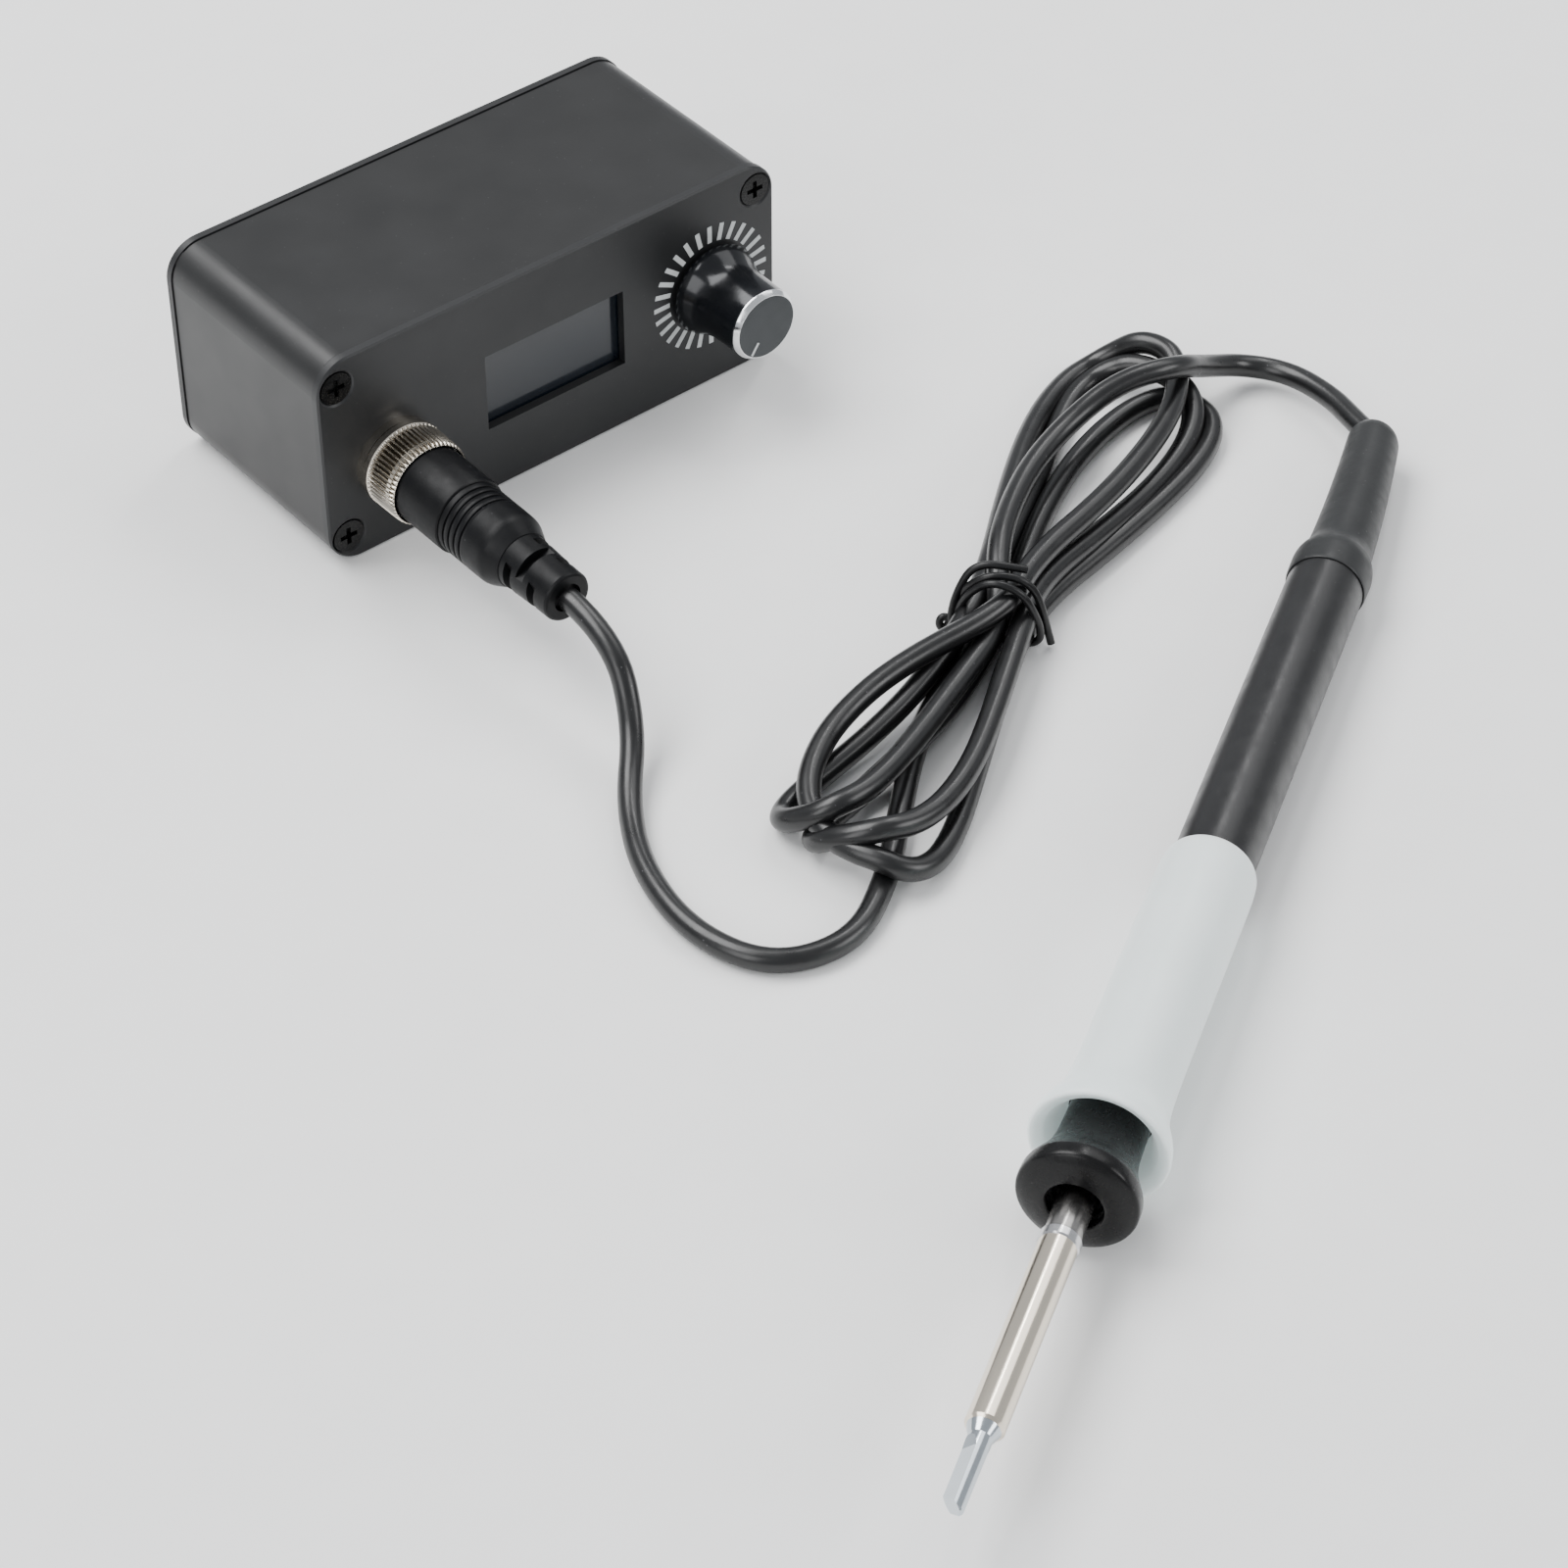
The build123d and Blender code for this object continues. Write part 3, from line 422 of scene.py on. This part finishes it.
def coupling_nut():
    """Knurled nut: a plain band at the back, straight teeth, a chamfered front ring and its bore."""
    # Each row: distance, radius, and how much of the tooth depth is cut there.
    profile = [(1.7, 6.03, 0), (1.7, 7.1, 0), (1.95, 7.36, 0), (2.95, 7.36, 0), (3.1, 7.25, 0),
               (3.2, 7.37, 0), (3.45, 7.37, 1), (6.0, 7.33, 1), (8.6, 7.24, 1), (9.0, 7.2, 1),
               (9.25, 7.1, 0.7), (9.42, 6.98, 0.2), (9.5, 6.88, 0), (9.45, 6.78, 0), (9.2, 6.75, 0),
               (8.3, 6.75, 0), (8.3, 7.0, 0), (7.5, 7.0, 0), (7.5, 6.6, 0), (6.4, 6.6, 0),
               (6.4, 6.03, 0)]
    around = TEETH * STEPS_PER_TOOTH
    waves = [0.5 + 0.5 * cos(2 * pi * k / STEPS_PER_TOOTH) for k in range(around)]
    rings = []
    for d, r, cut in profile:
        rings.append(ring_of(plug_point, d, [r - TOOTH_DEPTH * cut * wave for wave in waves]))
    verts, faces = rings_to_mesh(rings)
    nut = mesh_piece("knurled_nut", verts, faces, nickel, "nut")
    # The second slot holds the painted shade for the groove faces.
    nut.data.materials.append(painted_groove_shade)
    knurled = [cut for _, _, cut in profile]
    for i in range(len(profile) - 1):
        if min(knurled[i], knurled[i + 1]) < 1:
            continue
        for k in range(around):
            if k % STEPS_PER_TOOTH in GROOVE_STEPS:
                nut.data.polygons[i * around + k].material_index = 1
    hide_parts("coupling_nut")


GROOVES, GROOVE_FROM, GROOVE_PITCH = 4, 20.6, 1.35


def plug():
    """Moulded plug shell: a plain front, a step, four fine grooves and a rounded shoulder."""
    profile = [(12.0, 1.9), (12.0, 4.75), (7.45, 4.75), (7.45, 6.35), (7.6, 6.48), (8.0, 6.5), (19.2, 6.5),
               (19.45, 6.43), (19.6, 6.25), (19.62, 6.1)]
    for i in range(GROOVES):
        d = GROOVE_FROM + GROOVE_PITCH * i
        profile += [(d - 0.05, 6.1), (d + 0.05, 6.05), (d + 0.12, 5.82), (d + 0.43, 5.82), (d + 0.5, 6.05),
                    (d + 0.6, 6.1)]
    profile += smooth([(25.6, 6.1), (27.8, 6.1), (29.4, 6.06), (30.2, 5.88)])
    profile += smooth([(30.4, 5.8), (31.4, 5.35), (32.3, 4.92), (32.75, 4.7)])
    profile += [(32.8, 4.6), (32.8, 1.9)]
    lathe("plug_shell", profile, plug_point, moulding, "root", "plug_body")


coupling_nut()
plug()

# ---- cord -------------------------------------------------------------------------------
CORD_D = 3.7
LEAD_ROUTE = [
    (-31.2, -64.5, 15.9), (-31.0, -75.5, 15.0), (-34.5, -84.5, 5.6), (-43.0, -93.5, 1.85),
    (-50.0, -106.0, 1.85), (-52.5, -120.5, 1.85), (-48.0, -133.0, 1.85), (-36.0, -136.5, 1.85),
    (-24.5, -130.0, 1.85), (-14.5, -121.0, 1.85), (-2.0, -110.0, 1.85), (9.5, -103.0, 1.85)]
# Where each pass of the cord enters and leaves the tie: sideways and height.
TIE, TIE_HEADING, TIE_HALF, TIE_LIFT = (26.5, -97.5), 33.5, 6.0, 0.9
ENTER = ((3.6, 1.9), (-4.3, 5.6), (0.3, 1.9), (-3.3, 1.9), (-2.2, 9.0), (4.2, 5.3), (-1.0, 5.1))
LEAVE = ((3.9, 1.9), (-3.9, 5.2), (0.2, 1.9), (-5.0, 1.9), (-2.6, 8.7), (4.1, 5.4), (2.9, 8.8))
# Each loop: heading, length, widths out and back, fullness out and back, bend, roundness, nine heights.
LOOPS = [
    (29.1, 57.6, 10.0, 16.5, 0.8, 2.6, -5.4, 2.4, (1.9, 1.9, 1.9, 2.5, 5.7, 5.6, 3.0, 2.6, 5.2)),
    (200.3, 53.5, 11.5, 8.0, 1.6, 2.8, 3.0, 2.4, (5.6, 6.0, 7.0, 9.2, 5.8, 1.9, 1.9, 4.5, 1.9)),
    (22.9, 56.4, 5.5, 11.8, 1.2, 1.0, 2.6, 2.3, (1.9,) * 9),
    (208.8, 54.4, 9.3, 16.4, 1.0, 0.9, -2.8, 2.4, (1.9, 1.9, 1.9, 3.6, 5.7, 5.6, 5.6, 7.0, 9.0)),
    (28.9, 61.1, -10.1, -10.1, 0.9, 1.1, 0.2, 2.6, (8.7, 7.5, 6.5, 8.5, 7.5, 2.5, 2.0, 3.5, 5.4)),
    (197.5, 51.2, -8.3, -8.6, 2.4, 2.6, 2.0, 2.4, (5.3, 3.5, 1.9, 1.9, 5.5, 9.3, 8.6, 7.0, 5.1)),
]
POINTS_PER_LOOP, LOOP_GAIN, LIFT_FADE = 14, 2.2, 6
IRON_ROUTE = [
    (38.6, -84.6, 9.3), (49.0, -78.3, 9.2), (60.5, -74.6, 9.8), (70.5, -75.0, 12.9), (80.0, -77.9, 13.0),
    (88.5, -75.3, 7.2), (97.5, -75.6, 3.4), (102.0, -82.0, 3.3), (101.8, -91.5, 4.2), (99.6, -99.0, 4.9),
    (98.3, -104.2, 5.3)]


def at_tie(along, side, height):
    """A point beside the tie, measured along and across the bundle."""
    turn = radians(TIE_HEADING)
    return (TIE[0] + along * cos(turn) - side * sin(turn), TIE[1] + along * sin(turn) + side * cos(turn),
            height + TIE_LIFT)


def loop_points(index):
    """Control points of one loop; even loops leave the tie upwards, odd ones downwards."""
    heading, length, out, back, full_out, full_back, bend, roundness, heights = LOOPS[index]
    ends, along_tie = (ENTER, -TIE_HALF) if index % 2 else (LEAVE, TIE_HALF)
    start, end = at_tie(along_tie, *ends[index]), at_tie(along_tie, *ends[index + 1])
    turn = radians(heading)
    points = []
    for k in range(POINTS_PER_LOOP + 1):
        u = k / POINTS_PER_LOOP
        w = 2 * u - 1
        along = length * (1 - abs(w) ** roundness)
        width, fullness = (out, full_out) if w < 0 else (back, full_back)
        side = -LOOP_GAIN * width * w * (1 - w * w) ** fullness + bend * sin(pi * along / length)
        step = u * (len(heights) - 1)
        low = min(int(step), len(heights) - 2)
        share = step - low
        height = heights[low] * (1 - share) + heights[low + 1] * share + TIE_LIFT * abs(w) ** LIFT_FADE
        points.append((start[0] * (1 - u) + end[0] * u + along * cos(turn) - side * sin(turn),
                       start[1] * (1 - u) + end[1] * u + along * sin(turn) + side * cos(turn), height))
    return points


CORD_STEPS, TIE_STEPS, BEVEL_STEPS = 8, 6, 8


def nurbs(name, points, radius, material, body, resolution):
    """Round open NURBS spline guided by its control points."""
    data = bpy.data.curves.new(name, "CURVE")
    data.dimensions = "3D"
    data.bevel_depth = radius * MM
    data.bevel_resolution = BEVEL_STEPS
    data.use_fill_caps = True
    data.resolution_u = resolution
    spline = data.splines.new("NURBS")
    spline.points.add(len(points) - 1)
    for point, place in zip(spline.points, points):
        point.co = (place[0] * MM, place[1] * MM, place[2] * MM, 1.0)
    spline.order_u = 3
    spline.use_endpoint_u = True
    data.materials.append(material)
    obj = bpy.data.objects.new(name, data)
    bpy.context.scene.collection.objects.link(obj)
    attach(obj, body)
    return obj


def cord():
    route = list(LEAD_ROUTE)
    route.append(at_tie(-TIE_HALF, *ENTER[0]))
    for index in range(len(LOOPS)):
        route += loop_points(index)
    route.append(at_tie(TIE_HALF, *LEAVE[-1]))
    route += IRON_ROUTE
    piece = nurbs("iron_cord", route, CORD_D / 2, jacket, "root", CORD_STEPS)
    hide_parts("cord_lead", "cord_hank", "cord_to_iron")
    return piece


iron_cord = cord()


# ---- tie --------------------------------------------------------------------------------
TIE_R = 0.62
# The wire from its hanging end over the bundle and back, its twisted stub, and the end lying on top.
TIE_ROUTE = [
    (29.4, -105.2, 0.8), (29.2, -104.3, 3.5), (28.6, -103.8, 7.0), (28.0, -102.8, 10.2),
    (26.4, -101.6, 12.6), (24.4, -99.8, 13.3), (22.3, -98.0, 13.2), (20.6, -95.8, 11.0),
    (19.9, -94.0, 7.4), (19.8, -93.2, 3.6), (21.0, -94.2, 0.7), (24.0, -98.4, 0.5), (26.4, -102.4, 0.5),
    (27.6, -104.4, 1.6), (27.4, -105.0, 4.4), (26.3, -104.5, 8.0), (25.0, -103.5, 11.4),
    (23.2, -101.4, 13.1), (21.4, -98.9, 13.0), (19.8, -96.6, 10.2), (19.2, -95.0, 6.4),
    (18.6, -94.0, 3.4), (17.9, -93.4, 2.2), (17.3, -93.1, 3.0), (17.5, -93.0, 4.2), (18.3, -93.4, 4.5),
    (18.5, -94.2, 3.8), (18.3, -94.6, 4.9), (18.8, -94.4, 7.2), (20.0, -94.5, 10.2), (21.7, -94.9, 12.9),
    (23.6, -96.4, 13.9), (25.5, -98.5, 13.8), (28.2, -100.4, 12.9)]


def twist_tie():
    piece = nurbs("twist_wire", TIE_ROUTE, TIE_R, tie_plastic, "root", TIE_STEPS)
    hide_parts("twist_tie")
    return piece


tie_wire = twist_tie()
